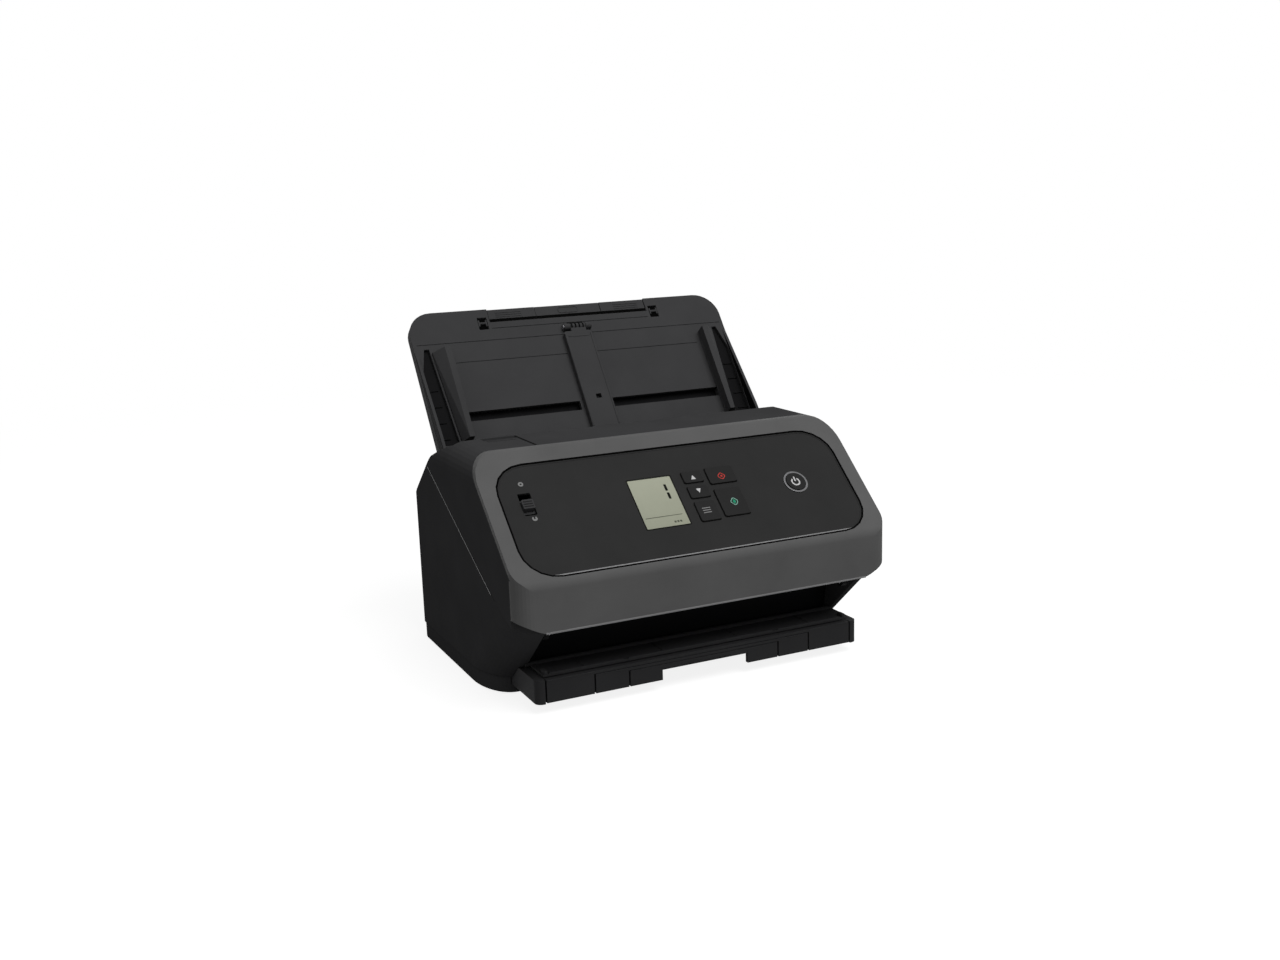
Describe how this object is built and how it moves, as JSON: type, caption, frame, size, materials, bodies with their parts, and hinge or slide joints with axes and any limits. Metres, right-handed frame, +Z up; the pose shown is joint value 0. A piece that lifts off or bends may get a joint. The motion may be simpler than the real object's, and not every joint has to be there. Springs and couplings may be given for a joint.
{
  "type": "document_scanner",
  "caption": "Sheet fed document scanner with a sloping control panel, folding feed tray with sliding guides, opening upper unit and telescoping eject tray",
  "frame": {"origin": "centre of the whole scanner in plan, on the surface it stands on", "axes": "X across the scanner from its left to its right seen from the front, Y from the front lip to the back, Z up"},
  "size_m": [0.291, 0.2518, 0.2538],
  "materials": {
    "black_plastic": "fine grained moulded plastic, near black",
    "dark_plastic": "fine grained moulded plastic, very dark grey",
    "charcoal_plastic": "satin grained moulded plastic, charcoal",
    "panel_plastic": "smooth satin panel, dark grey",
    "key_plastic": "satin keys with small printed symbols",
    "display": "grey green window of a reflective display",
    "sheet_steel": "plated steel",
    "bright_ring": "bright ring",
    "pulley_metal": "turned metal",
    "bushing_brass": "sintered bronze",
    "roller_rubber": "moulded rubber",
    "circuit_board": "green circuit board",
    "sensor_housing": "black moulded housing",
    "sensor_glass": "clear flat glass",
    "white_plastic": "natural white nylon"
  },
  "bodies": {
    "base": {"base_pan": "black_plastic", "rubber_feet": "roller_rubber", "rear_housing": "black_plastic", "output_chute": "black_plastic", "left_side_plate": "sheet_steel", "right_side_plate": "sheet_steel", "lower_path_guide": "black_plastic", "lower_image_sensor": "sensor_housing", "lower_sensor_glass": "sensor_glass", "main_board": "circuit_board", "connector_cover": "black_plastic", "power_inlet": "black_plastic", "usb_socket": "sheet_steel", "drive_motor": "sheet_steel", "drive_belt": "roller_rubber", "shaft_bushings": "bushing_brass", "unit_hinge_pins": "sheet_steel", "eject_tray_base": "black_plastic", "tray_hinge_pins": "sheet_steel", "housing_screws": "sheet_steel"},
    "upper_unit": {"upper_housing": "dark_plastic", "front_frame": "charcoal_plastic", "control_panel": "panel_plastic", "display_window": "display", "display_module": "sensor_housing", "panel_board": "circuit_board", "power_ring": "bright_ring", "upper_path_guide": "black_plastic", "upper_image_sensor": "sensor_housing", "upper_sensor_glass": "sensor_glass"},
    "up_button": {"up_button": "key_plastic"},
    "down_button": {"down_button": "key_plastic"},
    "menu_button": {"menu_button": "key_plastic"},
    "stop_button": {"stop_button": "key_plastic"},
    "start_button": {"start_button": "key_plastic"},
    "power_button": {"power_button": "key_plastic"},
    "feed_selector": {"feed_selector_knob": "key_plastic"},
    "release_lever": {"release_lever": "charcoal_plastic"},
    "retard_roller": {"retard_roller": "roller_rubber"},
    "transport_idler": {"transport_idler": "roller_rubber"},
    "eject_idler": {"eject_idler": "roller_rubber"},
    "feed_drive": {"feed_shaft": "sheet_steel", "feed_rollers": "roller_rubber"},
    "transport_drive": {"transport_shaft": "sheet_steel", "transport_rollers": "roller_rubber"},
    "eject_drive": {"eject_shaft": "sheet_steel", "eject_rollers": "roller_rubber"},
    "motor_pulley": {"motor_pulley": "pulley_metal"},
    "eject_stage_1": {"eject_stage_1": "dark_plastic"},
    "eject_stage_2": {"eject_stage_2": "dark_plastic"},
    "eject_stage_3": {"eject_stage_3": "dark_plastic"},
    "eject_flap": {"eject_flap": "dark_plastic"},
    "feed_tray": {"feed_tray": "charcoal_plastic", "tray_back_cover": "dark_plastic"},
    "extension_outer": {"extension_outer": "dark_plastic"},
    "extension_inner": {"extension_inner": "dark_plastic"},
    "support_arm": {"support_arm": "black_plastic"},
    "left_guide": {"left_guide": "charcoal_plastic"},
    "right_guide": {"right_guide": "charcoal_plastic"},
    "guide_pinion": {"guide_pinion": "white_plastic"}
  },
  "joints": [
    {"name": "upper_unit_hinge", "type": "hinge", "parent": "base", "child": "upper_unit", "pos_m": [0, -0.10386, 0.0562], "axis": [1, 0, 0], "range_deg": [0, 60]},
    {"name": "up_button_press", "type": "slide", "parent": "upper_unit", "child": "up_button", "axis": [0, 0.6652, -0.7466], "range_m": [0, 0.0008], "stiffness_N_per_m": 700, "springref_m": -0.0003},
    {"name": "down_button_press", "type": "slide", "parent": "upper_unit", "child": "down_button", "axis": [0, 0.6652, -0.7466], "range_m": [0, 0.0008], "stiffness_N_per_m": 700, "springref_m": -0.0003},
    {"name": "menu_button_press", "type": "slide", "parent": "upper_unit", "child": "menu_button", "axis": [0, 0.6652, -0.7466], "range_m": [0, 0.0008], "stiffness_N_per_m": 700, "springref_m": -0.0003},
    {"name": "stop_button_press", "type": "slide", "parent": "upper_unit", "child": "stop_button", "axis": [0, 0.6652, -0.7466], "range_m": [0, 0.0008], "stiffness_N_per_m": 700, "springref_m": -0.0003},
    {"name": "start_button_press", "type": "slide", "parent": "upper_unit", "child": "start_button", "axis": [0, 0.6652, -0.7466], "range_m": [0, 0.0008], "stiffness_N_per_m": 700, "springref_m": -0.0003},
    {"name": "power_button_press", "type": "slide", "parent": "upper_unit", "child": "power_button", "axis": [0, 0.6652, -0.7466], "range_m": [0, 0.0008], "stiffness_N_per_m": 700, "springref_m": -0.0003},
    {"name": "feed_selector_slide", "type": "slide", "parent": "upper_unit", "child": "feed_selector", "axis": [0, 0.7466, 0.6652], "range_m": [-0.0042, 0.006]},
    {"name": "release_lever_hinge", "type": "hinge", "parent": "upper_unit", "child": "release_lever", "pos_m": [-0.10425, -0.03096, 0.166], "axis": [1, 0, 0], "range_deg": [0, 25], "stiffness_Nm_per_rad": 0.08, "springref_deg": -2.86},
    {"name": "transport_shaft_spin", "type": "hinge", "parent": "base", "child": "transport_drive", "pos_m": [0, -0.00798, 0.10632], "axis": [1, 0, 0], "continuous": true},
    {"name": "feed_shaft_spin", "type": "hinge", "parent": "base", "child": "feed_drive", "pos_m": [0, 0.02282, 0.12075], "axis": [1, 0, 0], "continuous": true},
    {"name": "eject_shaft_spin", "type": "hinge", "parent": "base", "child": "eject_drive", "pos_m": [0, -0.066, 0.07701], "axis": [1, 0, 0], "continuous": true},
    {"name": "motor_spin", "type": "hinge", "parent": "base", "child": "motor_pulley", "pos_m": [0.13, 0.00504, 0.062], "axis": [1, 0, 0], "continuous": true},
    {"name": "retard_roller_spin", "type": "hinge", "parent": "upper_unit", "child": "retard_roller", "pos_m": [0, 0.01547, 0.1353], "axis": [1, 0, 0], "continuous": true},
    {"name": "transport_idler_spin", "type": "hinge", "parent": "upper_unit", "child": "transport_idler", "pos_m": [0, -0.01488, 0.11997], "axis": [1, 0, 0], "continuous": true},
    {"name": "eject_idler_spin", "type": "hinge", "parent": "upper_unit", "child": "eject_idler", "pos_m": [0, -0.0729, 0.09066], "axis": [1, 0, 0], "continuous": true},
    {"name": "eject_stage_1_slide", "type": "slide", "parent": "base", "child": "eject_stage_1", "axis": [0, -1, 0], "range_m": [0, 0.118]},
    {"name": "eject_stage_2_slide", "type": "slide", "parent": "eject_stage_1", "child": "eject_stage_2", "axis": [0, -1, 0], "range_m": [0, 0.114]},
    {"name": "eject_stage_3_slide", "type": "slide", "parent": "eject_stage_2", "child": "eject_stage_3", "axis": [0, -1, 0], "range_m": [0, 0.11]},
    {"name": "eject_flap_hinge", "type": "hinge", "parent": "base", "child": "eject_flap", "pos_m": [0, -0.08156, 0.0271], "axis": [-1, 0, 0], "range_deg": [0, 35]},
    {"name": "feed_tray_hinge", "type": "hinge", "parent": "base", "child": "feed_tray", "pos_m": [0, 0.05194, 0.138], "axis": [1, 0, 0], "range_deg": [0, 40]},
    {"name": "extension_outer_slide", "type": "slide", "parent": "feed_tray", "child": "extension_outer", "axis": [0, 0.5913, 0.8064], "range_m": [0, 0.066]},
    {"name": "extension_inner_slide", "type": "slide", "parent": "extension_outer", "child": "extension_inner", "axis": [0, 0.5913, 0.8064], "range_m": [0, 0.062]},
    {"name": "support_arm_hinge", "type": "hinge", "parent": "feed_tray", "child": "support_arm", "pos_m": [0.0018, 0.10309, 0.23659], "axis": [-1, 0, 0], "range_deg": [0, 170]},
    {"name": "left_guide_slide", "type": "slide", "parent": "feed_tray", "child": "left_guide", "axis": [1, 0, 0], "range_m": [0, 0.083]},
    {"name": "right_guide_slide", "type": "slide", "parent": "feed_tray", "child": "right_guide", "axis": [-1, 0, 0], "range_m": [0, 0.083]},
    {"name": "guide_pinion_spin", "type": "hinge", "parent": "feed_tray", "child": "guide_pinion", "pos_m": [0, 0.06705, 0.17559], "axis": [0, -0.8064, 0.5913], "range_deg": [-955, 0]}
  ],
  "couplings": [
    {"joint": "feed_shaft_spin", "follows": "transport_shaft_spin", "ratio": 1},
    {"joint": "eject_shaft_spin", "follows": "transport_shaft_spin", "ratio": 1},
    {"joint": "motor_spin", "follows": "transport_shaft_spin", "ratio": 1.375},
    {"joint": "right_guide_slide", "follows": "left_guide_slide", "ratio": 1},
    {"joint": "guide_pinion_spin", "follows": "left_guide_slide", "rad_per_m": -200}
  ]
}
